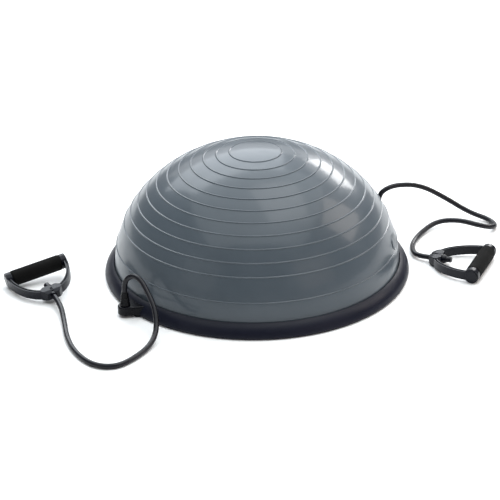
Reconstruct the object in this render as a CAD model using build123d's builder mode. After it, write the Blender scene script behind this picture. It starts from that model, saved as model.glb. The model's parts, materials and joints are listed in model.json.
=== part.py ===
"""Balance dome trainer: an inflated ribbed half dome on a round platform, with two elastic bands.

Millimetres, +Z up.  The origin is the centre of the underside, on the floor.
Each band is a rubber tube that leaves a lug on the rim and ends in a D-shaped handle.
"""
from build123d import *
from math import asin, cos, hypot, pi, radians, sin, sqrt, tan
import os

os.makedirs("parts", exist_ok=True)

# --- driving dimensions: dome ---------------------------------------------------------------
DOME_R = 271.0            # outer radius at the dome's equator
DOME_H = 230.0            # height of the dome above its equator
EQUATOR_Z = 17.5          # the equator's height above the floor
SKIN = 3.0                # thickness of the inflated skin
RIB_R = 1.3               # radius of the raised rings' round section
RING_FIRST = 49.0         # arc length from the apex to the first ring
RING_PITCH = 25.3         # arc length between the next ten rings
RING_LAST = 348.4         # arc length from the apex to the lowest ring
BEAD_R = 276.6            # outer radius of the bead that the rim traps
BEAD_INNER_R = 264.0
BEAD_TOP = 14.8
BEAD_BOTTOM = 6.6
FLOOR_SHEET_Z = 8.0       # underside of the sheet that closes the bladder
FLOOR_SHEET_T = 2.0

# --- driving dimensions: platform -----------------------------------------------------------
RIM_R = 290.0             # largest radius of the whole platform
LIP_R = 271.6             # the rim's lip, just outside the dome
LIP_TOP = 27.0
CHANNEL_R = 277.0         # the channel inside the rim that holds the bead
CHANNEL_TOP = 15.0
PLATE_TOP = 6.5
PLATE_BOTTOM = 2.0
PLATE_R = 284.3
SKIRT_R = 284.5           # inner radius of the rim's skirt, around the plate
SKIRT_BOTTOM = 1.5
WEB_INNER_R = 62.0        # the underside's recessed ring, and its radial ribs
WEB_OUTER_R = 200.0
WEB_DEPTH = 1.6
WEB_RIBS = 16
PAD_R = 20.0              # eight rubber pads around the underside
PAD_RING_R = 236.0
PAD_COUNT = 8
CENTRE_PAD_R = 45.0
PAD_SEAT = 1.0            # how far a pad is let into the plate

# --- driving dimensions: screws -------------------------------------------------------------
SCREW_RING_R = 280.5
SCREW_COUNT = 16
SCREW_R = 1.8
SCREW_TIP_Z = 14.0
HEAD_R = 3.3
HEAD_T = 2.0
HEAD_POCKET_R = 3.6

# --- driving dimensions: lugs and their boots -----------------------------------------------
LUG_ANGLE = 217.0         # bearing of the left lug; the right lug is opposite
LUG_R = 304.0             # distance from the centre to a lug's hole
LUG_TIP_R = 14.0
LUG_ROOT_R = 262.0
LUG_ROOT_HALF = 38.0
LUG_TOP = 21.0
NOSE_R = 295.0            # outside this radius the lug stands clear of the floor
NOSE_BOTTOM = 5.5
LUG_SCREW_SIDE = 15.0     # the two lug screws' distance from the lug's middle line
LUG_HOLE_R = 5.30
STEM_R = 5.25             # the stopper's stem turns in the lug's hole
STOPPER_R = 8.5
STOPPER_POCKET_R = 9.5
STOPPER_BOTTOM = 7.0
STOPPER_TOP = 14.2
POCKET_TOP = 14.5
BOOT_BOTTOM = 21.2
BOOT_TOP = 48.0
BOOT_FLANGE_R = 9.5
BOOT_FLANGE_T = 3.6
BOOT_FOOT_R = 7.6
BOOT_NECK_R = 5.9
BOOT_RIBS = 6
BOOT_RIB_R = 1.1

# --- driving dimensions: valve --------------------------------------------------------------
VALVE_BEARING = -12.4     # degrees from +X
VALVE_Z = 75.0
VALVE_FLANGE_R = 10.0
VALVE_SLEEVE_R = 6.5
VALVE_SLEEVE_DEPTH = 13.0
VALVE_HOLE_R = 4.05
PLUG_STEM_R = 4.0
PLUG_STEM_LENGTH = 11.0
PLUG_HEAD_R = 8.0
PLUG_SEAT_R = 8.3

# --- driving dimensions: tubes --------------------------------------------------------------
TUBE_R = 5.0
ARC_SHARE = 0.45          # share of the shorter run that each arc takes up

# --- driving dimensions: handles ------------------------------------------------------------
# In a handle's own frame X runs along the crossbar, Y from the crossbar to the hub.
BOW_RX = 61.0             # half width and depth of the bow's outer outline, a half ellipse
BOW_RY = 92.0
STRAP_T = 7.0             # the strap's thickness in the plane of the D
STRAP_HALF = 8.5          # half of the strap's height
GROOVE_W = 2.8            # the groove along the strap's two edges
GROOVE_DEPTH = 3.0
SOCKET_R = 14.4
SOCKET_IN = 49.0          # the sockets run from here to the cap's seat
SOCKET_OUT = 60.0
CAP_SEAT = 58.0
CAP_R = 11.6
CAP_T = 3.0
CAP_STEM_R = 2.5
CAP_STEM_LENGTH = 9.0
BAR_R = 6.0
SLEEVE_HOLE_R = 6.05      # the grip's sleeve turns on the crossbar
SLEEVE_R = 9.0
GRIP_R = 15.0
GRIP_HALF = 48.5
HUB_HALF = 9.6            # half of the hub's height
HUB_PLAN = [(13.0, 75.0), (20.5, 81.0), (20.5, 87.0), (15.0, 95.0), (12.0, 99.0)]
HUB_IN = 75.0
HUB_OUT = 99.0
HUB_SLOPE_FROM = 91.0     # the hub thins from here to its outer face
HUB_END_HALF = 6.9
CLEFT_W = 3.6             # the cleft along the hub's top
CLEFT_DEPTH = 2.6
BOSS_IN = 68.0            # the boss inside the D that grips the tube's tail
BOSS_OUT = 80.0
BOSS_TIP_R = 7.6
BOSS_ROOT_R = 9.8
TAIL_R = 5.5              # the tube's end, swollen by its plug
TAIL_IN = 58.0
TAIL_PLUG_R = 3.0
TAIL_PLUG_DEPTH = 14.0
TAIL_HEAD_R = 4.2
TAIL_HEAD_T = 1.2

# A handle's place: crossbar centre, then turns about Z, its own X and its own Y.
HANDLE_PLACE = {
    "left": ((-418.4, -42.6, 24.0), -155.4, -4.4, 8.6),
    "right": ((424.6, -21.3, 15.2), 67.5, -2.8, 0.0),
}

# Where each tube's middle line turns, after its upright start and before its run into the hub.
TUBE_START = {"left": 22.0, "right": 17.0}
TUBE_ENTRY = {"left": 36.0, "right": 27.0}
TUBE_ROUTE = {
    "left": [
        (-228.0, -188.0, 84.0), (-212.0, -203.0, 84.0), (-198.0, -223.0, 66.0), (-185.0, -247.0, 46.0),
        (-181.0, -275.0, 20.0), (-190.0, -308.0, 7.0), (-214.0, -350.0, 5.0), (-250.0, -388.0, 5.0),
        (-293.0, -378.0, 5.0), (-326.0, -330.0, 5.0), (-344.0, -275.0, 5.0), (-353.0, -215.0, 5.5),
    ],
    "right": [
        (254.0, 184.0, 79.0), (280.0, 194.0, 84.0), (326.0, 206.0, 77.0), (376.0, 213.0, 46.0),
        (424.0, 209.0, 15.0), (465.0, 194.0, 5.0), (475.0, 161.0, 6.5), (460.0, 140.5, 13.0),
        (436.0, 136.0, 20.5), (400.0, 161.0, 20.5), (358.0, 177.0, 11.0), (322.0, 134.0, 6.0),
        (303.0, 88.0, 5.5), (301.0, 54.0, 7.5),
    ],
}


# --- helpers --------------------------------------------------------------------------------
def save(solid, name):
    """Label a finished piece and write it."""
    solid.label = name
    export_step(solid, f"parts/{name}.step")


def on_dome(turn, inset=0.0):
    """Radius and height of the dome's outline at an angle from its apex, set in by inset."""
    return (DOME_R - inset) * sin(turn), EQUATOR_Z + (DOME_H - inset) * cos(turn)


def dome_turn_at(arc_length):
    """Angle from the apex at which the dome's outline has run a given length."""
    step = 1e-4
    turn = 0.0
    run = 0.0
    while run < arc_length:
        run += hypot(DOME_R * cos(turn), DOME_H * sin(turn)) * step
        turn += step
    return turn


def draw_dome_outline(turns, inset):
    """Draw the dome's outline from its apex to its equator as smooth arcs between rings."""
    first = on_dome(turns[1], inset)
    apex = on_dome(turns[0], inset)
    drop = apex[1] - first[1]
    cap_radius = (first[0] ** 2 + drop**2) / (2 * drop)
    half_turn = asin(first[0] / cap_radius) / 2
    middle = (cap_radius * sin(half_turn), apex[1] - cap_radius * (1 - cos(half_turn)))
    ThreePointArc(apex, middle, first)
    for above, below in zip(turns[1:], turns[2:]):
        ThreePointArc(on_dome(above, inset), on_dome((above + below) / 2, inset), on_dome(below, inset))


def upright(bearing, radius, height=0.0):
    """A level plane on a bearing from the centre, its X pointing outward."""
    angle = radians(bearing)
    return Plane(
        origin=(radius * cos(angle), radius * sin(angle), height),
        x_dir=(cos(angle), sin(angle), 0),
        z_dir=(0, 0, 1),
    )


def handle_frame(place):
    """The plane of a handle: origin at the crossbar's centre, Y towards the hub."""
    origin, turn_z, turn_x, turn_y = place
    return Plane(Location(origin) * Rotation(0, 0, turn_z) * Rotation(turn_x, 0, 0) * Rotation(0, turn_y, 0))


def along(frame, axis, x=0.0, y=0.0, z=0.0):
    """A plane in a handle's frame whose normal runs along the frame's own X, Y or Z."""
    normal = {"x": frame.x_dir, "y": frame.y_dir, "z": frame.z_dir}[axis]
    across = {"x": frame.y_dir, "y": frame.x_dir, "z": frame.x_dir}[axis]
    return Plane(origin=frame.from_local_coords(Vector(x, y, z)), x_dir=across, z_dir=normal)


def arc_radii(points):
    """The radius at each turn of a route: as large as its two runs allow."""
    radii = []
    for before, here, after in zip(points, points[1:], points[2:]):
        arriving = here - before
        leaving = after - here
        shorter = min(arriving.length, leaving.length)
        radii.append(ARC_SHARE * shorter / tan(radians(arriving.get_angle(leaving)) / 2))
    return radii


# --- dome -----------------------------------------------------------------------------------
ring_turns = [dome_turn_at(RING_FIRST + RING_PITCH * n) for n in range(11)]
ring_turns.append(dome_turn_at(RING_LAST))
outline_turns = [0.0, *ring_turns, pi / 2]

valve_radius = DOME_R * sqrt(1 - ((VALVE_Z - EQUATOR_Z) / DOME_H) ** 2)
valve_slope = Vector(valve_radius / DOME_R**2, 0, (VALVE_Z - EQUATOR_Z) / DOME_H**2).normalized()
valve_out = valve_slope.rotate(Axis.Z, VALVE_BEARING)
valve_seat = Plane(
    origin=Vector(valve_radius, 0, VALVE_Z).rotate(Axis.Z, VALVE_BEARING),
    z_dir=valve_out,
)

with BuildPart() as dome:
    with BuildSketch(Plane.XZ):
        with BuildLine():
            draw_dome_outline(outline_turns, 0.0)
            draw_dome_outline(outline_turns, SKIN)
            Line(on_dome(0.0), on_dome(0.0, SKIN))
            Polyline(
                (DOME_R, EQUATOR_Z),
                (DOME_R, BEAD_TOP),
                (BEAD_R, BEAD_TOP),
                (BEAD_R, BEAD_BOTTOM),
                (BEAD_INNER_R, BEAD_BOTTOM),
                (BEAD_INNER_R, BEAD_TOP),
                (DOME_R - SKIN, EQUATOR_Z),
            )
        make_face()
        for turn in ring_turns:
            with Locations(on_dome(turn)):
                Circle(RIB_R)
    revolve(axis=Axis.Z)
    with BuildSketch(valve_seat.offset(-1.2)):
        Circle(VALVE_FLANGE_R)
    extrude(amount=SKIN, mode=Mode.SUBTRACT)
    with BuildSketch(valve_seat):
        Circle(VALVE_SLEEVE_R)
    extrude(amount=-2 * SKIN, mode=Mode.SUBTRACT)
save(dome.part, "dome")

with BuildPart() as bladder_floor:
    with BuildSketch(Plane.XY.offset(FLOOR_SHEET_Z)):
        Circle(BEAD_INNER_R)
    extrude(amount=FLOOR_SHEET_T)
save(bladder_floor.part, "bladder_floor")

# --- valve ----------------------------------------------------------------------------------
with BuildPart() as valve_collar:
    with BuildSketch(valve_seat.offset(-1.2)):
        Circle(VALVE_FLANGE_R)
    extrude(amount=2.0)
    with BuildSketch(valve_seat.offset(-1.2)):
        Circle(VALVE_SLEEVE_R)
    extrude(amount=-VALVE_SLEEVE_DEPTH)
    with BuildSketch(valve_seat.offset(0.8)):
        Circle(PLUG_SEAT_R)
    extrude(amount=-1.0, mode=Mode.SUBTRACT)
    with BuildSketch(valve_seat.offset(0.8)):
        Circle(VALVE_HOLE_R)
    extrude(amount=-2 * VALVE_SLEEVE_DEPTH, mode=Mode.SUBTRACT)
save(valve_collar.part, "valve_collar")

with BuildPart() as valve_plug:
    with BuildSketch(valve_seat.offset(-0.1)):
        Circle(PLUG_HEAD_R)
    extrude(amount=1.5)
    fillet(valve_plug.edges().group_by(Axis(valve_seat.origin, valve_out))[-1], radius=0.5)
    with BuildSketch(valve_seat.offset(-0.1)):
        Circle(PLUG_STEM_R)
    extrude(amount=-PLUG_STEM_LENGTH)
save(valve_plug.part, "valve_plug")


# --- platform -------------------------------------------------------------------------------
def lug_outline(plane):
    """The lug's plan, a rounded tip that widens towards the platform, drawn on a plane."""
    with BuildSketch(plane) as outline:
        with Locations((LUG_R, 0)):
            Circle(LUG_TIP_R)
        with BuildLine():
            Line((LUG_ROOT_R, -LUG_ROOT_HALF), (LUG_ROOT_R, LUG_ROOT_HALF))
        make_hull()
    return outline.sketch


lug_bearings = {"left": LUG_ANGLE, "right": LUG_ANGLE - 180.0}
screw_bearings = [LUG_ANGLE + 360.0 / SCREW_COUNT * (n + 0.5) for n in range(SCREW_COUNT)]

with BuildPart() as rim_shell:
    with BuildSketch(Plane.XZ):
        with BuildLine():
            Polyline(
                (RIM_R - 1.5, SKIRT_BOTTOM),
                (SKIRT_R, SKIRT_BOTTOM),
                (SKIRT_R, PLATE_TOP),
                (CHANNEL_R, PLATE_TOP),
                (CHANNEL_R, CHANNEL_TOP),
                (LIP_R, CHANNEL_TOP),
                (LIP_R, LIP_TOP - 1.2),
                (LIP_R + 1.2, LIP_TOP),
            )
            ThreePointArc((LIP_R + 1.2, LIP_TOP), (284.0, 18.4), (RIM_R, 5.5))
            Line((RIM_R, 5.5), (RIM_R - 1.5, SKIRT_BOTTOM))
        make_face()
    revolve(axis=Axis.Z)
    for bearing in lug_bearings.values():
        extrude(lug_outline(upright(bearing, 0)), amount=PLATE_TOP, mode=Mode.SUBTRACT)
        for side in (-LUG_SCREW_SIDE, LUG_SCREW_SIDE):
            with BuildSketch(upright(bearing, 0, PLATE_TOP)):
                with Locations((SCREW_RING_R, side)):
                    Circle(SCREW_R)
            extrude(amount=SCREW_TIP_Z - PLATE_TOP, mode=Mode.SUBTRACT)
    for bearing in screw_bearings:
        with BuildSketch(upright(bearing, SCREW_RING_R, PLATE_TOP)):
            Circle(SCREW_R)
        extrude(amount=SCREW_TIP_Z - PLATE_TOP, mode=Mode.SUBTRACT)
save(rim_shell.part, "rim_shell")

with BuildPart() as base_plate:
    with BuildSketch(Plane.XY.offset(PLATE_BOTTOM)):
        Circle(PLATE_R)
    extrude(amount=PLATE_TOP - PLATE_BOTTOM)
    with BuildSketch(Plane.XY.offset(PLATE_BOTTOM)):
        Circle(WEB_OUTER_R)
        Circle(WEB_INNER_R, mode=Mode.SUBTRACT)
        with PolarLocations(0, WEB_RIBS):
            with Locations(((WEB_INNER_R + WEB_OUTER_R) / 2, 0)):
                Rectangle(WEB_OUTER_R - WEB_INNER_R + 8, 5, mode=Mode.SUBTRACT)
    extrude(amount=WEB_DEPTH, mode=Mode.SUBTRACT)
    with BuildSketch(Plane.XY.offset(PLATE_BOTTOM)):
        Circle(CENTRE_PAD_R)
        with PolarLocations(PAD_RING_R, PAD_COUNT):
            Circle(PAD_R)
    extrude(amount=PAD_SEAT, mode=Mode.SUBTRACT)
    for bearing in lug_bearings.values():
        extrude(lug_outline(upright(bearing, 0)), amount=PLATE_TOP, mode=Mode.SUBTRACT)
    for bearing in screw_bearings:
        with BuildSketch(upright(bearing, SCREW_RING_R, PLATE_BOTTOM)):
            Circle(HEAD_POCKET_R)
        extrude(amount=HEAD_T, mode=Mode.SUBTRACT)
        with BuildSketch(upright(bearing, SCREW_RING_R, PLATE_BOTTOM)):
            Circle(SCREW_R)
        extrude(amount=PLATE_TOP, mode=Mode.SUBTRACT)
save(base_plate.part, "base_plate")

with BuildPart() as centre_pad:
    with BuildSketch(Plane.XY):
        Circle(CENTRE_PAD_R)
    extrude(amount=PLATE_BOTTOM + PAD_SEAT)
save(centre_pad.part, "centre_pad")

with BuildPart() as rubber_pads:
    with BuildSketch(Plane.XY):
        with PolarLocations(PAD_RING_R, PAD_COUNT):
            Circle(PAD_R)
    extrude(amount=PLATE_BOTTOM + PAD_SEAT)
save(rubber_pads.part, "rubber_pads")


def screws_at(planes):
    """Screws whose heads start at each plane and whose shanks run up from them."""
    with BuildPart() as screws:
        for plane in planes:
            with BuildSketch(plane):
                Circle(HEAD_R)
            extrude(amount=HEAD_T)
            with BuildSketch(plane):
                Circle(SCREW_R)
            extrude(amount=SCREW_TIP_Z - PLATE_BOTTOM)
            with BuildSketch(plane):
                RegularPolygon(1.5, 6)
            extrude(amount=1.2, mode=Mode.SUBTRACT)
    return screws


rim_screws = screws_at([upright(bearing, SCREW_RING_R, PLATE_BOTTOM) for bearing in screw_bearings])
save(rim_screws.part, "rim_screws")

# --- lugs, boots and stoppers ---------------------------------------------------------------
with BuildPart() as rim_envelope:
    with BuildSketch(Plane.XZ):
        with BuildLine():
            Polyline((LIP_R + 1.2, LIP_TOP), (200, LIP_TOP), (200, PLATE_TOP), (RIM_R - 0.4, PLATE_TOP))
            Line((RIM_R - 0.4, PLATE_TOP), (RIM_R, PLATE_TOP))
            Line((RIM_R, PLATE_TOP), (RIM_R, 5.5))
            ThreePointArc((RIM_R, 5.5), (284.0, 18.4), (LIP_R + 1.2, LIP_TOP))
        make_face()
    revolve(axis=Axis.Z)

for side, bearing in lug_bearings.items():
    hole = upright(bearing, LUG_R, SKIRT_BOTTOM)

    with BuildPart() as lug:
        extrude(lug_outline(upright(bearing, 0, SKIRT_BOTTOM)), amount=LUG_TOP - SKIRT_BOTTOM)
        fillet(lug.faces().sort_by(Axis.Z)[-1].edges(), radius=2.5)
        add(rim_envelope.part, mode=Mode.SUBTRACT)
        with BuildSketch(Plane.XY):
            Circle(LUG_R + 2 * LUG_TIP_R)
            Circle(NOSE_R, mode=Mode.SUBTRACT)
        extrude(amount=NOSE_BOTTOM, mode=Mode.SUBTRACT)
        with BuildSketch(hole):
            Circle(LUG_HOLE_R)
        extrude(amount=LUG_TOP, mode=Mode.SUBTRACT)
        with BuildSketch(hole):
            Circle(STOPPER_POCKET_R)
        extrude(amount=POCKET_TOP - SKIRT_BOTTOM, mode=Mode.SUBTRACT)
        for offset in (-LUG_SCREW_SIDE, LUG_SCREW_SIDE):
            with BuildSketch(upright(bearing, 0, SKIRT_BOTTOM)):
                with Locations((SCREW_RING_R, offset)):
                    Circle(HEAD_POCKET_R)
            extrude(amount=PLATE_BOTTOM + HEAD_T - SKIRT_BOTTOM, mode=Mode.SUBTRACT)
            with BuildSketch(upright(bearing, 0, SKIRT_BOTTOM)):
                with Locations((SCREW_RING_R, offset)):
                    Circle(SCREW_R)
            extrude(amount=LUG_TOP, mode=Mode.SUBTRACT)
    save(lug.part, f"{side}_lug")

    lug_plane = upright(bearing, 0, PLATE_BOTTOM)
    heads = [
        Plane(origin=lug_plane.from_local_coords(Vector(SCREW_RING_R, offset, 0)), z_dir=(0, 0, 1))
        for offset in (-LUG_SCREW_SIDE, LUG_SCREW_SIDE)
    ]
    lug_screws = screws_at(heads)
    save(lug_screws.part, f"{side}_lug_screws")

    with BuildPart() as stopper:
        with BuildSketch(upright(bearing, LUG_R, STOPPER_BOTTOM)):
            Circle(STOPPER_R)
        extrude(amount=STOPPER_TOP - STOPPER_BOTTOM)
        fillet(stopper.edges().filter_by(GeomType.CIRCLE), radius=1.5)
        with BuildSketch(upright(bearing, LUG_R, STOPPER_TOP)):
            Circle(STEM_R)
        extrude(amount=BOOT_BOTTOM - STOPPER_TOP)
    save(stopper.part, f"{side}_tube_stopper")

    with BuildPart() as boot:
        with BuildSketch(upright(bearing, LUG_R, BOOT_BOTTOM)):
            Circle(BOOT_FLANGE_R)
        extrude(amount=BOOT_FLANGE_T)
        fillet(boot.faces().sort_by(Axis.Z)[-1].edges(), radius=1.2)
        with BuildSketch(upright(bearing, LUG_R, BOOT_BOTTOM + BOOT_FLANGE_T)):
            Circle(BOOT_FOOT_R)
        with BuildSketch(upright(bearing, LUG_R, BOOT_TOP)):
            Circle(BOOT_NECK_R)
        loft()
        spoke = upright(bearing, LUG_R)
        section = Plane(origin=spoke.origin, x_dir=spoke.x_dir, z_dir=-spoke.y_dir)
        with BuildSketch(section):
            for n in range(BOOT_RIBS):
                share = (n + 0.6) / BOOT_RIBS
                rib_z = BOOT_BOTTOM + BOOT_FLANGE_T + share * (BOOT_TOP - BOOT_BOTTOM - BOOT_FLANGE_T)
                with Locations((BOOT_FOOT_R + share * (BOOT_NECK_R - BOOT_FOOT_R), rib_z)):
                    Circle(BOOT_RIB_R)
        revolve(axis=Axis(spoke.origin, (0, 0, 1)))
    save(boot.part, f"{side}_boot")

# --- handles --------------------------------------------------------------------------------
for side, place in HANDLE_PLACE.items():
    frame = handle_frame(place)

    with BuildPart() as hub:
        with BuildSketch(along(frame, "z", z=-HUB_HALF)):
            with BuildLine():
                Polyline(*HUB_PLAN, *[(-x, y) for x, y in reversed(HUB_PLAN)], close=True)
            make_face()
        extrude(amount=2 * HUB_HALF)
        with BuildSketch(along(frame, "x", x=-BOW_RX)):
            with BuildLine():
                Polyline(
                    (BOSS_IN, -HUB_HALF),
                    (HUB_SLOPE_FROM, -HUB_HALF),
                    (HUB_OUT, -HUB_END_HALF),
                    (HUB_OUT, HUB_END_HALF),
                    (HUB_SLOPE_FROM, HUB_HALF),
                    (BOSS_IN, HUB_HALF),
                    close=True,
                )
            make_face()
        extrude(amount=2 * BOW_RX, mode=Mode.INTERSECT)
        with BuildSketch(along(frame, "z", z=HUB_HALF)):
            with Locations((0, (HUB_IN + HUB_OUT) / 2)):
                Rectangle(CLEFT_W, 2 * (HUB_OUT - HUB_IN))
        extrude(amount=-CLEFT_DEPTH, mode=Mode.SUBTRACT)

    with BuildPart() as bow:
        # the strap, a half ellipse in plan
        with BuildSketch(along(frame, "z", z=-STRAP_HALF)):
            with BuildLine():
                arch = EllipticalCenterArc((0, 0), BOW_RX, BOW_RY, 0, arc_size=180)
                arch_in = EllipticalCenterArc((0, 0), BOW_RX - STRAP_T, BOW_RY - STRAP_T, 0, arc_size=180)
                Line(arch @ 0, arch_in @ 0)
                Line(arch @ 1, arch_in @ 1)
            make_face()
        extrude(amount=2 * STRAP_HALF)
        # the groove along both edges of the strap
        for z in (-STRAP_HALF, STRAP_HALF - GROOVE_DEPTH):
            rail = (STRAP_T - GROOVE_W) / 2
            with BuildSketch(along(frame, "z", z=z)):
                with BuildLine():
                    outer = EllipticalCenterArc((0, 0), BOW_RX - rail, BOW_RY - rail, 0, arc_size=180)
                    inner = EllipticalCenterArc(
                        (0, 0), BOW_RX - STRAP_T + rail, BOW_RY - STRAP_T + rail, 0, arc_size=180
                    )
                    Line(outer @ 0, inner @ 0)
                    Line(outer @ 1, inner @ 1)
                make_face()
            extrude(amount=GROOVE_DEPTH, mode=Mode.SUBTRACT)
        # the sockets at the ends of the crossbar
        for end in (-1, 1):
            with BuildSketch(along(frame, "x", x=end * SOCKET_IN)):
                Circle(SOCKET_R)
            extrude(amount=end * (SOCKET_OUT - SOCKET_IN))
        # the hub and the boss inside the D
        add(hub.part)
        with BuildSketch(along(frame, "y", y=BOSS_OUT)):
            Circle(BOSS_ROOT_R)
        with BuildSketch(along(frame, "y", y=BOSS_IN)):
            Circle(BOSS_TIP_R)
        loft()
        # bores for the crossbar, the caps and the tube
        with BuildSketch(along(frame, "x", x=-CAP_SEAT)):
            Circle(BAR_R)
        extrude(amount=2 * CAP_SEAT, mode=Mode.SUBTRACT)
        for end in (-1, 1):
            with BuildSketch(along(frame, "x", x=end * CAP_SEAT)):
                Circle(CAP_R)
            extrude(amount=end * 2 * CAP_T, mode=Mode.SUBTRACT)
        with BuildSketch(along(frame, "y", y=TAIL_IN)):
            Circle(TAIL_R)
        extrude(amount=HUB_OUT + 1 - TAIL_IN, mode=Mode.SUBTRACT)
    save(bow.part, f"{side}_handle_bow")

    with BuildPart() as crossbar:
        with BuildSketch(along(frame, "x", x=-CAP_SEAT)):
            Circle(BAR_R)
            Circle(CAP_STEM_R, mode=Mode.SUBTRACT)
        extrude(amount=2 * CAP_SEAT)
    save(crossbar.part, f"{side}_crossbar")

    for end, end_name in ((-1, "inner"), (1, "outer")):
        with BuildPart() as cap:
            with BuildSketch(along(frame, "x", x=end * CAP_SEAT)):
                Circle(CAP_R)
            extrude(amount=end * CAP_T)
            rim_edges = cap.edges().sort_by(Axis(frame.origin, frame.x_dir))
            chamfer(rim_edges[-1] if end > 0 else rim_edges[0], length=0.8)
            with BuildSketch(along(frame, "x", x=end * CAP_SEAT)):
                Circle(CAP_STEM_R)
            extrude(amount=-end * CAP_STEM_LENGTH)
        save(cap.part, f"{side}_{end_name}_cap")

    with BuildPart() as sleeve:
        with BuildSketch(along(frame, "x", x=-GRIP_HALF)):
            Circle(SLEEVE_R)
            Circle(SLEEVE_HOLE_R, mode=Mode.SUBTRACT)
        extrude(amount=2 * GRIP_HALF)
    save(sleeve.part, f"{side}_grip_sleeve")

    with BuildPart() as foam:
        with BuildSketch(along(frame, "x", x=-GRIP_HALF)):
            Circle(GRIP_R)
        extrude(amount=2 * GRIP_HALF)
        fillet(foam.edges(), radius=1.8)
        with BuildSketch(along(frame, "x", x=-GRIP_HALF)):
            Circle(SLEEVE_R)
        extrude(amount=2 * GRIP_HALF, mode=Mode.SUBTRACT)
    save(foam.part, f"{side}_foam_grip")

    with BuildPart() as tail:
        with BuildSketch(along(frame, "y", y=TAIL_IN)):
            Circle(TAIL_R)
        extrude(amount=HUB_OUT - TAIL_IN)
        with BuildSketch(along(frame, "y", y=TAIL_IN)):
            Circle(TAIL_PLUG_R)
        extrude(amount=TAIL_PLUG_DEPTH, mode=Mode.SUBTRACT)
    save(tail.part, f"{side}_tube_tail")

    with BuildPart() as tail_plug:
        with BuildSketch(along(frame, "y", y=TAIL_IN)):
            Circle(TAIL_PLUG_R)
        extrude(amount=TAIL_PLUG_DEPTH)
        with BuildSketch(along(frame, "y", y=TAIL_IN)):
            Circle(TAIL_HEAD_R)
        extrude(amount=-TAIL_HEAD_T)
    save(tail_plug.part, f"{side}_tail_plug")

    # --- tube -------------------------------------------------------------------------------
    foot = upright(lug_bearings[side], LUG_R, BOOT_TOP).origin
    mouth = frame.from_local_coords(Vector(0, HUB_OUT, 0))
    points = [
        foot,
        foot + Vector(0, 0, TUBE_START[side]),
        *[Vector(*turn) for turn in TUBE_ROUTE[side]],
        mouth + frame.y_dir * TUBE_ENTRY[side],
        mouth,
    ]
    radii = arc_radii(points)
    with BuildPart() as tube:
        with BuildLine() as route:
            FilletPolyline(*points, radius=radii)
        middle = route.wire()
        with BuildSketch(Plane(origin=middle @ 0, z_dir=middle % 0)):
            Circle(TUBE_R)
        sweep(path=middle)
    save(tube.part, f"{side}_tube")
    length = middle.length
    print(side, "tube length", round(length, 1), "volume ratio", round(tube.part.volume / (pi * TUBE_R**2 * length), 4))
    print(side, "radii", [round(radius, 1) for radius in radii])
    print(side, "points", [tuple(round(value, 1) for value in point) for point in points])
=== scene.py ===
"""Balance dome trainer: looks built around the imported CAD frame.  Metres, row frame."""

import json
from math import cos, hypot, pi, radians, sin, sqrt

import bmesh
import bpy
from mathutils import Matrix, Vector


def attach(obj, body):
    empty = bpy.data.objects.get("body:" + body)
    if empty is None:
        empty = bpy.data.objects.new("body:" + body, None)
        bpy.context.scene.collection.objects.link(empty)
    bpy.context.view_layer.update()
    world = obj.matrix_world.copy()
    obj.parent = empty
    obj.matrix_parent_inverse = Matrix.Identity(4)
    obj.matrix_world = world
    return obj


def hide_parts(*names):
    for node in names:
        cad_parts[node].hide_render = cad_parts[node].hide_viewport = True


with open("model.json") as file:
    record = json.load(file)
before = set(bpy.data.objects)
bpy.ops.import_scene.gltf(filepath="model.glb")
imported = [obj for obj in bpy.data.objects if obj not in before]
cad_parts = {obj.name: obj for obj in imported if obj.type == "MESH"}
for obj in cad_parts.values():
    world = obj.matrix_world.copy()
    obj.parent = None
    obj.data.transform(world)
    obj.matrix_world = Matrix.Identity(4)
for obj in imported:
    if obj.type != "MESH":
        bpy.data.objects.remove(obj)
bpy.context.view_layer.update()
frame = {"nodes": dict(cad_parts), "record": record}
MM = 0.001

# --- sizes, in millimetres, as in part.py -----------------------------------------------------
DOME_R = 271.0
DOME_H = 230.0
EQUATOR_Z = 17.5
SKIN = 3.0
RIB_R = 1.3
RING_FIRST = 49.0         # from the top along the skin, as for the other rings
RING_PITCH = 25.3
RING_COUNT = 11
RING_LAST = 348.4
RING_HALF_W = 1.6         # half width of a raised ring, where it has faded into the skin
RING_CLEAR = 3.2          # no plain station of the outline is nearer to a ring than this
BEAD_R = 276.6
BEAD_INNER_R = 264.0
BEAD_TOP = 14.8
BEAD_BOTTOM = 6.6
LUG_R = 304.0
LUG_ANGLE = 217.0
VALVE_BEARING = -12.4
VALVE_Z = 75.0
VALVE_REACH = 20.0        # only skin this near to the valve can be part of its opening
COLLAR_COVER_R = 6.8      # skin this near to the valve's axis is hidden under its collar
GRIP_R = 15.0
GRIP_HALF = 48.5
FOAM_ROUND = 3.0
SLEEVE_R = 9.0
TUBE_D = 10.0
BOW_RX = 61.0
BOW_RY = 92.0
STRAP_T = 7.0
BAR_HOLE_R = 6.05
SOCKET_R = 14.4
SOCKET_IN = 49.0
SOCKET_OUT = 60.0
CAP_R = 11.6
CAP_SEAT = 58.0
HUB_IN = 75.0
HUB_SLOPE_FROM = 91.0
HUB_OUT = 99.0
HUB_PLAN = [
    (13.0, HUB_IN),
    (20.5, 81.0),
    (20.5, 87.0),
    (17.8, HUB_SLOPE_FROM),
    (15.0, 95.0),
    (12.0, HUB_OUT),
]
HUB_HALF = 9.6
HUB_END_HALF = 6.9
LOBE_FOOT = 5.0
CLEFT_W = 3.6
CLEFT_DEPTH = 2.6
BOSS_IN = 68.0
BOSS_OUT = 80.0
BOSS_TIP_R = 7.6
BOSS_ROOT_R = 9.6
MOUTH_R = 7.0
MOUTH_BORE_R = 5.15
TAIL_R = 5.5
BOOT_BOTTOM = 21.2
BOOT_TOP = 48.0
BOOT_FLANGE_R = 9.5
BOOT_FOOT_R = 8.0
BOOT_NECK_R = 6.4
BOOT_BORE_R = 5.1
BOOT_TAPER = 2.4
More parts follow.
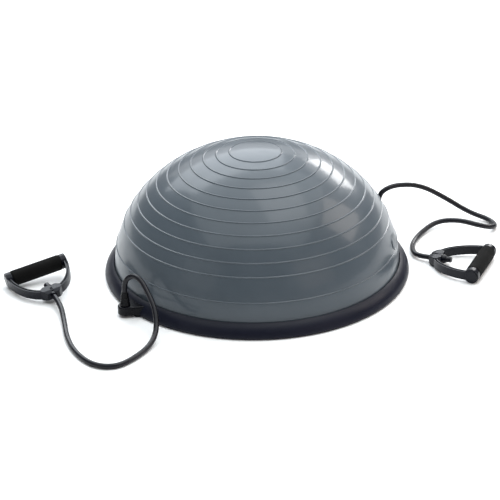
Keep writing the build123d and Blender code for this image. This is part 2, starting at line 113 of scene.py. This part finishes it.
BOOT_RIBS = 7
BOOT_RIB_HALF = 0.55
EDGE_BEVEL = 0.5
FLOOR_HALF = 9000.0
FLOOR_DROP = 0.2          # keeps the stage's floor from sharing a plane with the pads
HANDLE_PLACE = {
    "left": ((-418.4, -42.6, 24.0), -155.4, -4.4, 8.6),
    "right": ((424.6, -21.3, 15.2), 67.5, -2.8, 0.0),
}


# --- helpers ----------------------------------------------------------------------------------
def add_mesh(name, mesh, smooth=True):
    """A new object for a mesh, linked into the scene."""
    if smooth:
        mesh.polygons.foreach_set("use_smooth", [True] * len(mesh.polygons))
    piece = bpy.data.objects.new(name, mesh)
    bpy.context.collection.objects.link(piece)
    return piece


def lathe(name, profile, segments, place=Matrix.Identity(4), closed=True):
    """Turn a profile of (radius, height) millimetre pairs about the place's own Z axis."""
    build = bmesh.new()
    rings = []
    for radius, height in profile:
        if radius < 1e-6:
            rings.append([build.verts.new(place @ Vector((0, 0, height * MM)))])
            continue
        ring = []
        for n in range(segments):
            turn = 2 * pi * n / segments
            corner = Vector((radius * cos(turn) * MM, radius * sin(turn) * MM, height * MM))
            ring.append(build.verts.new(place @ corner))
        rings.append(ring)
    pairs = list(zip(rings, rings[1:]))
    if closed:
        pairs.append((rings[-1], rings[0]))
    for first, second in pairs:
        for n in range(segments):
            m = (n + 1) % segments
            corners = [first[n % len(first)], first[m % len(first)]]
            corners += [second[m % len(second)], second[n % len(second)]]
            unique = list(dict.fromkeys(corners))
            if len(unique) > 2:
                build.faces.new(unique)
    bmesh.ops.recalc_face_normals(build, faces=build.faces)
    mesh = bpy.data.meshes.new(name)
    build.to_mesh(mesh)
    build.free()
    return add_mesh(name, mesh)


def handle_matrix(side):
    """The handle's own frame: X along the crossbar, Y towards the hub."""
    origin, turn_z, turn_x, turn_y = HANDLE_PLACE[side]
    turned = Matrix.Rotation(radians(turn_z), 4, "Z") @ Matrix.Rotation(radians(turn_x), 4, "X")
    turned = turned @ Matrix.Rotation(radians(turn_y), 4, "Y")
    return Matrix.Translation(Vector(origin) * MM) @ turned


def merged(name, pieces):
    """One object from several, with crisp corners kept and flat faces shaded flat."""
    build = bmesh.new()
    for piece in pieces:
        build.from_mesh(piece.data)
        bpy.data.objects.remove(piece)
    mesh = bpy.data.meshes.new(name)
    build.to_mesh(mesh)
    build.free()
    whole = add_mesh(name, mesh)
    mesh.set_sharp_from_angle(angle=radians(38))
    shading = whole.modifiers.new("shading", "WEIGHTED_NORMAL")
    shading.keep_sharp = True
    return whole


def rounded_hull(name, points, place, rounding):
    """A convex block through millimetre points, with every edge rounded."""
    build = bmesh.new()
    for point in points:
        build.verts.new(place @ (Vector(point) * MM))
    hull = bmesh.ops.convex_hull(build, input=build.verts)
    loose = [item for item in hull["geom_interior"] if isinstance(item, bmesh.types.BMVert)]
    bmesh.ops.delete(build, geom=loose, context="VERTS")
    bmesh.ops.dissolve_limit(build, angle_limit=radians(2), verts=build.verts, edges=build.edges)
    bmesh.ops.bevel(
        build,
        geom=list(build.edges),
        offset=rounding * MM,
        segments=3,
        profile=0.5,
        affect="EDGES",
        clamp_overlap=True,
    )
    bmesh.ops.recalc_face_normals(build, faces=build.faces)
    mesh = bpy.data.meshes.new(name)
    build.to_mesh(mesh)
    build.free()
    return add_mesh(name, mesh)


def swept_strap(name, place):
    """The bow's strap: an H section with rounded rails, carried along a half ellipse.

    The section's corners are (outward, upward); a rail, half the groove, and both mirrored.
    """
    rail = [(0.0, 8.1), (-0.1, 8.4), (-0.35, 8.5), (-1.85, 8.5), (-2.05, 8.4), (-2.1, 8.1)]
    groove_half = [(-2.2, 5.2), (-2.7, 4.6)]
    outer_half = rail + groove_half
    top = outer_half + [(-STRAP_T - across, up) for across, up in reversed(outer_half)]
    section = top + [(across, -up) for across, up in reversed(top)]
    build = bmesh.new()
    rings = []
    steps = 72
    for n in range(steps + 1):
        turn = pi * n / steps
        outward = Vector((cos(turn) / BOW_RX, sin(turn) / BOW_RY, 0)).normalized()
        spot = Vector((BOW_RX * cos(turn), BOW_RY * sin(turn), 0))
        ring = [spot + outward * across + Vector((0, 0, up)) for across, up in section]
        rings.append([build.verts.new(place @ (corner * MM)) for corner in ring])
    for first, second in zip(rings, rings[1:]):
        for n in range(len(section)):
            m = (n + 1) % len(section)
            build.faces.new((first[n], first[m], second[m], second[n]))
    build.faces.new(rings[0])
    build.faces.new(list(reversed(rings[-1])))
    bmesh.ops.recalc_face_normals(build, faces=build.faces)
    mesh = bpy.data.meshes.new(name)
    build.to_mesh(mesh)
    build.free()
    return add_mesh(name, mesh)


# --- materials --------------------------------------------------------------------------------
TONE_SCALE = 9.0
WEAR_SCALE = 36.0
COAT_ROUGHNESS = 0.12


def material(name, dark, light, rough, grain, bump, coat=0.0, metallic=0.0, shine=0.5, depth=0.0002):
    """A moulded finish: two close tones, uneven roughness and a fine grain in the surface."""
    finish = bpy.data.materials.new(name)
    finish.use_nodes = True
    nodes = finish.node_tree.nodes
    links = finish.node_tree.links
    shader = nodes["Principled BSDF"]
    place = nodes.new("ShaderNodeTexCoord")
    tone = nodes.new("ShaderNodeTexNoise")
    tone.inputs["Scale"].default_value = TONE_SCALE
    tone.inputs["Detail"].default_value = 5.0
    links.new(place.outputs["Object"], tone.inputs["Vector"])
    ramp = nodes.new("ShaderNodeValToRGB")
    ramp.color_ramp.elements[0].position = 0.35
    ramp.color_ramp.elements[0].color = (*dark, 1.0)
    ramp.color_ramp.elements[1].position = 0.65
    ramp.color_ramp.elements[1].color = (*light, 1.0)
    links.new(tone.outputs["Fac"], ramp.inputs["Fac"])
    links.new(ramp.outputs["Color"], shader.inputs["Base Color"])
    wear = nodes.new("ShaderNodeTexNoise")
    wear.inputs["Scale"].default_value = WEAR_SCALE
    wear.inputs["Detail"].default_value = 6.0
    links.new(place.outputs["Object"], wear.inputs["Vector"])
    spread = nodes.new("ShaderNodeMapRange")
    spread.inputs["From Min"].default_value = 0.3
    spread.inputs["From Max"].default_value = 0.7
    spread.inputs["To Min"].default_value = rough[0]
    spread.inputs["To Max"].default_value = rough[1]
    links.new(wear.outputs["Fac"], spread.inputs["Value"])
    links.new(spread.outputs["Result"], shader.inputs["Roughness"])
    pores = nodes.new("ShaderNodeTexNoise")
    pores.inputs["Scale"].default_value = grain
    pores.inputs["Detail"].default_value = 3.0
    links.new(place.outputs["Object"], pores.inputs["Vector"])
    relief = nodes.new("ShaderNodeBump")
    relief.inputs["Strength"].default_value = bump
    relief.inputs["Distance"].default_value = depth
    links.new(pores.outputs["Fac"], relief.inputs["Height"])
    links.new(relief.outputs["Normal"], shader.inputs["Normal"])
    shader.inputs["Coat Weight"].default_value = coat
    shader.inputs["Coat Roughness"].default_value = COAT_ROUGHNESS
    shader.inputs["Metallic"].default_value = metallic
    shader.inputs["Specular IOR Level"].default_value = shine
    return finish


# Each row: the dark and light tones, then the roughness range, grain, bump and what else it needs.
FINISH = {
    "dome_skin": material(
        "dome_skin",
        (0.061, 0.077, 0.093),
        (0.070, 0.087, 0.104),
        (0.30, 0.38), 900, 0.04, coat=0.3, shine=0.2,
    ),
    "valve": material(
        "valve",
        (0.07, 0.088, 0.106),
        (0.085, 0.103, 0.12),
        (0.3, 0.42), 1500, 0.1,
    ),
    "rim": material(
        "rim",
        (0.006, 0.0072, 0.0155),
        (0.008, 0.0092, 0.0185),
        (0.36, 0.46), 1300, 0.12, shine=0.16,
    ),
    "underside": material(
        "underside",
        (0.01, 0.01, 0.013),
        (0.018, 0.018, 0.022),
        (0.5, 0.65), 1300, 0.3, shine=0.3,
    ),
    "pad_rubber": material(
        "pad_rubber",
        (0.012, 0.012, 0.012),
        (0.022, 0.022, 0.022),
        (0.75, 0.9), 1800, 0.5,
    ),
    "screw_steel": material(
        "screw_steel",
        (0.2, 0.2, 0.2),
        (0.32, 0.32, 0.32),
        (0.3, 0.45), 2500, 0.2, metallic=1.0,
    ),
    "lug": material(
        "lug",
        (0.002, 0.002, 0.0038),
        (0.0035, 0.0035, 0.0065),
        (0.22, 0.3), 1500, 0.12, shine=0.14,
    ),
    "boot_rubber": material(
        "boot_rubber",
        (0.0012, 0.0012, 0.0026),
        (0.0025, 0.0025, 0.0045),
        (0.22, 0.3), 2000, 0.12, shine=0.2,
    ),
    "stopper": material(
        "stopper",
        (0.03, 0.03, 0.033),
        (0.05, 0.05, 0.055),
        (0.4, 0.5), 1500, 0.2,
    ),
    "tube_rubber": material(
        "tube_rubber",
        (0.0042, 0.0043, 0.0072),
        (0.0075, 0.0077, 0.012),
        (0.24, 0.32), 2200, 0.1, shine=0.26,
    ),
    "handle_plastic": material(
        "handle_plastic",
        (0.0015, 0.0022, 0.0055),
        (0.0026, 0.0036, 0.009),
        (0.24, 0.31), 1600, 0.08, shine=0.21,
    ),
    "crossbar": material(
        "crossbar",
        (0.03, 0.03, 0.032),
        (0.05, 0.05, 0.05),
        (0.3, 0.4), 1500, 0.1,
    ),
    "sleeve": material(
        "sleeve",
        (0.03, 0.03, 0.03),
        (0.05, 0.05, 0.05),
        (0.4, 0.5), 1500, 0.1,
    ),
    "foam": material(
        "foam",
        (0.002, 0.002, 0.002),
        (0.005, 0.005, 0.005),
        (0.85, 0.98), 1100, 1.0, shine=0.15, depth=0.0006,
    ),
}
NODE_SLOT = {part["node"]: part["material_slot"] for part in frame["record"]["subparts"]}
for node, piece in frame["nodes"].items():
    piece.data.materials.clear()
    piece.data.materials.append(FINISH[NODE_SLOT[node]])


# --- dome -------------------------------------------------------------------------------------
def dome_point(turn, inset=0.0, raised=0.0):
    """Radius and height on the dome's outline, raised along its normal."""
    lean = Vector((sin(turn) / DOME_R, cos(turn) / DOME_H)).normalized()
    return (
        (DOME_R - inset) * sin(turn) + lean.x * raised,
        EQUATOR_Z + (DOME_H - inset) * cos(turn) + lean.y * raised,
    )


ARC_STEPS = 4000          # for the run along the outline, which sets where each ring comes
OUTER_STATIONS = 96
INNER_STATIONS = 60
RING_OFFSETS = (-2.8, -2.0, -1.6, -1.25, -0.95, -0.6, -0.3, 0.0, 0.3, 0.6, 0.95, 1.25, 1.6, 2.0, 2.8)


def dome_profile():
    """Half section of the skin: raised rings outside, smooth inside, and the bead at its foot."""
    rings = [RING_FIRST + RING_PITCH * n for n in range(RING_COUNT)] + [RING_LAST]
    stations = {}
    run = 0.0
    marks = [0.0]
    for n in range(ARC_STEPS):
        turn = (n + 0.5) * pi / 2 / ARC_STEPS
        run += hypot(DOME_R * cos(turn), DOME_H * sin(turn)) * pi / 2 / ARC_STEPS
        marks.append(run)
    wanted = [run * n / OUTER_STATIONS for n in range(OUTER_STATIONS + 1)]
    wanted = [mark for mark in wanted if min(abs(mark - ring) for ring in rings) > RING_CLEAR]
    for mark in wanted:
        stations[mark] = 0.0
    for ring in rings:
        for offset in RING_OFFSETS:
            share = min(1.0, abs(offset) / RING_HALF_W)
            stations[ring + offset] = RIB_R * 0.5 * (1 + cos(pi * share))
    profile = []
    index = 0
    for mark in sorted(stations):
        while index < ARC_STEPS and marks[index + 1] < mark:
            index += 1
        past = (mark - marks[index]) / (marks[min(index + 1, ARC_STEPS)] - marks[index] + 1e-12)
        turn = min(pi / 2, (index + past) * pi / 2 / ARC_STEPS)
        if mark == 0.0:
            profile.append((0.0, EQUATOR_Z + DOME_H))
            continue
        profile.append(dome_point(turn, raised=stations[mark]))
    profile += [(DOME_R, BEAD_TOP), (BEAD_R, BEAD_TOP), (BEAD_R, BEAD_BOTTOM)]
    profile += [(BEAD_INNER_R, BEAD_BOTTOM), (BEAD_INNER_R, BEAD_TOP)]
    profile += [dome_point(pi / 2 * (1 - n / INNER_STATIONS), inset=SKIN) for n in range(INNER_STATIONS)]
    profile.append((0.0, EQUATOR_Z + DOME_H - SKIN))
    return profile


dome_skin = lathe("dome_skin", dome_profile(), 256, closed=False)
valve_r = DOME_R * sqrt(1 - ((VALVE_Z - EQUATOR_Z) / DOME_H) ** 2)
valve_out = Vector((valve_r / DOME_R**2, 0, (VALVE_Z - EQUATOR_Z) / DOME_H**2)).normalized()
valve_out.rotate(Matrix.Rotation(radians(VALVE_BEARING), 3, "Z"))
valve_at = Vector((valve_r, 0, VALVE_Z)) * MM
valve_at.rotate(Matrix.Rotation(radians(VALVE_BEARING), 3, "Z"))
opening = bmesh.new()
opening.from_mesh(dome_skin.data)
under_collar = [
    face
    for face in opening.faces
    if (face.calc_center_median() - valve_at).length < VALVE_REACH * MM
    and (face.calc_center_median() - valve_at).cross(valve_out).length < COLLAR_COVER_R * MM
]
bmesh.ops.delete(opening, geom=under_collar, context="FACES")
opening.to_mesh(dome_skin.data)
opening.free()
dome_skin.data.materials.clear()
dome_skin.data.materials.append(FINISH["dome_skin"])
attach(dome_skin, "platform")
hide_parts("dome")

# --- tubes ------------------------------------------------------------------------------------
TUBE_ROUTE = {
    "left": [
        (-0.2428, -0.1830, 0.0480), (-0.2428, -0.1830, 0.0700), (-0.2280, -0.1880, 0.0840),
        (-0.2120, -0.2030, 0.0840), (-0.1980, -0.2230, 0.0660), (-0.1850, -0.2470, 0.0460),
        (-0.1810, -0.2750, 0.0200), (-0.1900, -0.3080, 0.0070), (-0.2140, -0.3500, 0.0050),
        (-0.2500, -0.3880, 0.0050), (-0.2930, -0.3780, 0.0050), (-0.3260, -0.3300, 0.0050),
        (-0.3440, -0.2750, 0.0050), (-0.3530, -0.2150, 0.0055), (-0.3624, -0.1650, 0.0136),
        (-0.3773, -0.1323, 0.0164),
    ],
    "right": [
        (0.2428, 0.1830, 0.0480), (0.2428, 0.1830, 0.0650), (0.2540, 0.1840, 0.0790),
        (0.2800, 0.1940, 0.0840), (0.3260, 0.2060, 0.0770), (0.3760, 0.2130, 0.0460),
        (0.4240, 0.2090, 0.0150), (0.4650, 0.1940, 0.0050), (0.4750, 0.1610, 0.0065),
        (0.4600, 0.1405, 0.0130), (0.4360, 0.1360, 0.0205), (0.4000, 0.1610, 0.0205),
        (0.3580, 0.1770, 0.0110), (0.3220, 0.1340, 0.0060), (0.3030, 0.0880, 0.0055),
        (0.3010, 0.0540, 0.0075), (0.3083, 0.0269, 0.0090), (0.3332, 0.0165, 0.0104),
    ],
}
for side, route in TUBE_ROUTE.items():
    line = bpy.data.curves.new(f"{side}_band_tube", "CURVE")
    line.dimensions = "3D"
    spline = line.splines.new("NURBS")
    spline.points.add(len(route) - 1)
    for point, place in zip(spline.points, route):
        point.co = (*place, 1.0)
    spline.order_u = 3
    spline.use_endpoint_u = True
    line.resolution_u = 16
    line.bevel_depth = TUBE_D / 2 * MM
    line.bevel_resolution = 8
    line.use_fill_caps = True
    tube = bpy.data.objects.new(f"{side}_band_tube", line)
    bpy.context.collection.objects.link(tube)
    line.materials.append(FINISH["tube_rubber"])
    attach(tube, f"{side}_band")
    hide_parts(f"{side}_tube")

# --- handles ----------------------------------------------------------------------------------
def hub_height(along):
    """Half height of the hub, which thins towards its outer face."""
    slope = (HUB_HALF - HUB_END_HALF) / (HUB_OUT - HUB_SLOPE_FROM)
    return HUB_HALF - slope * max(0.0, along - HUB_SLOPE_FROM)


for side in HANDLE_PLACE:
    place = handle_matrix(side)
    about_x = place @ Matrix.Rotation(pi / 2, 4, "Y")
    about_y = place @ Matrix.Rotation(-pi / 2, 4, "X")
    parts = [swept_strap("strap", place)]
    socket = [(BAR_HOLE_R, SOCKET_IN), (SOCKET_R - 0.3, SOCKET_IN), (SOCKET_R - 0.1, SOCKET_IN + 0.1)]
    socket += [(SOCKET_R, SOCKET_IN + 0.3), (SOCKET_R, SOCKET_OUT - 0.5)]
    socket += [(SOCKET_R - 0.1, SOCKET_OUT - 0.15), (SOCKET_R - 0.45, SOCKET_OUT)]
    socket += [(CAP_R + 0.4, SOCKET_OUT), (CAP_R + 0.1, SOCKET_OUT - 0.2)]
    socket += [(CAP_R, SOCKET_OUT - 0.6), (CAP_R, CAP_SEAT), (BAR_HOLE_R, CAP_SEAT)]
    parts.append(lathe("socket", socket, 72, about_x))
    parts.append(lathe("socket", [(radius, -reach) for radius, reach in socket], 72, about_x))
    floor_of_cleft = HUB_HALF - CLEFT_DEPTH
    core = [(x * way, y, min(hub_height(y), floor_of_cleft)) for x, y in HUB_PLAN for way in (-1, 1)]
    core += [(x * way, y, -hub_height(y)) for x, y in HUB_PLAN for way in (-1, 1)]
    parts.append(rounded_hull("hub_core", core, place, 0.7))
    for way in (-1, 1):
        lobe = [(x * way, y, hub_height(y)) for x, y in HUB_PLAN]
        lobe += [(x * way, y, floor_of_cleft - 2.0) for x, y in HUB_PLAN]
        by_cleft = [(HUB_IN, HUB_HALF), (HUB_SLOPE_FROM, HUB_HALF), (HUB_OUT, HUB_END_HALF)]
        by_cleft += [(HUB_IN, LOBE_FOOT), (HUB_OUT, LOBE_FOOT)]
        lobe += [(CLEFT_W / 2 * way, y, height) for y, height in by_cleft]
        parts.append(rounded_hull("hub_lobe", lobe, place, 0.9))
    boss = [(TAIL_R + 0.05, BOSS_IN), (BOSS_TIP_R - 0.5, BOSS_IN), (BOSS_TIP_R, BOSS_IN + 0.5)]
    boss += [(BOSS_ROOT_R, BOSS_OUT), (BOSS_ROOT_R, BOSS_OUT + 4.0), (TAIL_R + 0.05, BOSS_OUT + 4.0)]
    parts.append(lathe("boss", boss, 64, about_y))
    mouth = [(MOUTH_BORE_R, HUB_OUT - 1.5), (MOUTH_R, HUB_OUT - 1.5), (MOUTH_R, HUB_OUT + 0.5)]
    mouth += [(MOUTH_R - 0.4, HUB_OUT + 1.1), (MOUTH_R - 1.1, HUB_OUT + 1.2), (MOUTH_BORE_R, HUB_OUT + 0.8)]
    parts.append(lathe("mouth", mouth, 64, about_y))
    bow = merged(f"{side}_bow", parts)
    bow.data.materials.append(FINISH["handle_plastic"])
    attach(bow, f"{side}_band")
    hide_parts(f"{side}_handle_bow")

# --- boots ------------------------------------------------------------------------------------
for side, bearing in (("left", LUG_ANGLE), ("right", LUG_ANGLE - 180)):
    foot = Vector((LUG_R * cos(radians(bearing)), LUG_R * sin(radians(bearing)), 0)) * MM
    profile = [(0.0, BOOT_BOTTOM), (BOOT_FLANGE_R - 0.6, BOOT_BOTTOM), (BOOT_FLANGE_R, BOOT_BOTTOM + 0.6)]
    profile += [(BOOT_FLANGE_R, BOOT_BOTTOM + 2.6), (BOOT_FLANGE_R - 0.3, BOOT_BOTTOM + 3.3)]
    profile += [(BOOT_FLANGE_R - 0.9, BOOT_BOTTOM + 3.6)]
    start = BOOT_BOTTOM + 4.0
    steps = BOOT_RIBS * 10
    for n in range(steps + 1):
        share = n / steps
        swell = BOOT_RIB_HALF * (1 + cos(2 * pi * (share * BOOT_RIBS + 0.5)))
        height = start + share * (BOOT_TOP - 1.6 - start)
        profile.append((BOOT_FOOT_R - BOOT_TAPER * share + swell, height))
    profile += [(BOOT_NECK_R, BOOT_TOP - 1.2), (BOOT_NECK_R - 0.1, BOOT_TOP - 0.3)]
    profile += [(BOOT_NECK_R - 0.5, BOOT_TOP), (BOOT_BORE_R, BOOT_TOP)]
    profile += [(BOOT_BORE_R - 0.05, BOOT_TOP - 1), (0.0, BOOT_TOP - 1)]
    sleeve = lathe(f"{side}_ribbed_boot", profile, 72, Matrix.Translation(foot), closed=False)
    sleeve.data.materials.append(FINISH["boot_rubber"])
    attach(sleeve, f"{side}_band")
    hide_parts(f"{side}_boot")

# --- foam grips -------------------------------------------------------------------------------
for side in HANDLE_PLACE:
    turns = [step * pi / 12 for step in range(7)]
    straight = GRIP_HALF - FOAM_ROUND
    soft_end = [(GRIP_R - FOAM_ROUND * (1 - sin(turn)), straight + FOAM_ROUND * cos(turn)) for turn in turns]
    upper = [(SLEEVE_R + 0.05, GRIP_HALF - 0.4), (SLEEVE_R + 0.5, GRIP_HALF)] + soft_end
    body = [(GRIP_R, straight - n * straight / 12) for n in range(1, 12)]
    profile = upper + body + [(radius, -height) for radius, height in reversed(upper + body)]
    about_x = handle_matrix(side) @ Matrix.Rotation(pi / 2, 4, "Y")
    foam = lathe(f"{side}_grip_foam", profile, 96, about_x)
    foam.data.materials.append(FINISH["foam"])
    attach(foam, f"{side}_grip")
    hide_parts(f"{side}_foam_grip")

# --- edges of the moulded pieces --------------------------------------------------------------
for node, piece in frame["nodes"].items():
    if any(word in node for word in ("handle_bow", "lug", "cap", "valve", "pad", "plug", "stopper")):
        edge = piece.modifiers.new("edge", "BEVEL")
        edge.width = EDGE_BEVEL * MM
        edge.segments = 2
        edge.limit_method = "ANGLE"
        edge.angle_limit = radians(40)
        edge.harden_normals = False

# --- floor, light and camera ------------------------------------------------------------------
floor_mesh = bpy.data.meshes.new("floor")
far = FLOOR_HALF * MM
floor_mesh.from_pydata([(-far, -far, 0), (far, -far, 0), (far, far, 0), (-far, far, 0)], [], [(0, 1, 2, 3)])
floor = add_mesh("floor", floor_mesh, smooth=False)
floor.location.z = -FLOOR_DROP * MM
pale = bpy.data.materials.new("pale_floor")
pale.use_nodes = True
pale.node_tree.nodes["Principled BSDF"].inputs["Base Color"].default_value = (0.96, 0.96, 0.96, 1)
pale.node_tree.nodes["Principled BSDF"].inputs["Roughness"].default_value = 0.9
floor_mesh.materials.append(pale)

world = bpy.data.worlds.new("studio")
world.use_nodes = True
world.node_tree.nodes["Background"].inputs["Color"].default_value = (1, 1, 1, 1)
world.node_tree.nodes["Background"].inputs["Strength"].default_value = 0.2
bpy.context.scene.world = world


def softbox(name, place, target, size, power, colour=(1, 1, 1)):
    """A rectangular light aimed at a point."""
    light = bpy.data.lights.new(name, "AREA")
    light.shape = "RECTANGLE"
    light.size, light.size_y = size
    light.energy = power
    light.color = colour
    lamp = bpy.data.objects.new(name, light)
    bpy.context.collection.objects.link(lamp)
    lamp.location = place
    lamp.rotation_euler = (Vector(target) - Vector(place)).to_track_quat("-Z", "Y").to_euler()


softbox("top", (0.0, 0.3, 3.2), (0, 0.2, 0), (5.0, 5.0), 152, (0.93, 0.98, 1.0))
softbox("overhead", (0.8, 0.3, 3.0), (0.1, 0, 0.2), (2.0, 1.5), 24)
softbox("back_high", (-0.8, 2.7, 2.4), (0, 0, 0.2), (3.2, 2.0), 92, (0.9, 0.95, 1.0))
softbox("back_low", (-0.2, 3.0, 1.2), (0, 0, 0.2), (3.0, 0.8), 10)
softbox("key", (1.15, 1.9, 1.0), (0, 0, 0.2), (0.85, 0.5), 20)
softbox("right", (2.4, 0.6, 1.8), (0, 0, 0.1), (1.4, 1.4), 26, (1.0, 0.92, 0.86))
softbox("front_left", (-2.2, -2.0, 1.2), (0, 0, 0.1), (1.6, 1.6), 5)
softbox("front_right", (2.2, -2.0, 1.2), (0, 0, 0.1), (1.6, 1.6), 7, (1.0, 0.86, 0.78))

RANGE = 4.06
RISE = 0.456495513
AIM_Z = 0.036406
PAN = -0.00320371990
TILT = 0.000719671
ROLL = -0.0145605717
eye = Vector((0, -RANGE * cos(RISE), RANGE * sin(RISE) + AIM_Z))
forward = (Vector((0, 0, AIM_Z)) - eye).normalized()
across = Vector((1, 0, 0))
upward = across.cross(forward)
forward, upward = cos(TILT) * forward + sin(TILT) * upward, cos(TILT) * upward - sin(TILT) * forward
forward, across = cos(PAN) * forward + sin(PAN) * across, cos(PAN) * across - sin(PAN) * forward
across, upward = cos(ROLL) * across + sin(ROLL) * upward, cos(ROLL) * upward - sin(ROLL) * across
lens = bpy.data.cameras.new("camera")
lens.sensor_width = 36.0
lens.lens = 153.296
camera = bpy.data.objects.new("camera", lens)
bpy.context.collection.objects.link(camera)
camera.matrix_world = Matrix((
    (across.x, upward.x, -forward.x, eye.x),
    (across.y, upward.y, -forward.y, eye.y),
    (across.z, upward.z, -forward.z, eye.z),
    (0, 0, 0, 1),
))
bpy.context.scene.camera = camera
bpy.context.scene.view_settings.view_transform = "Standard"
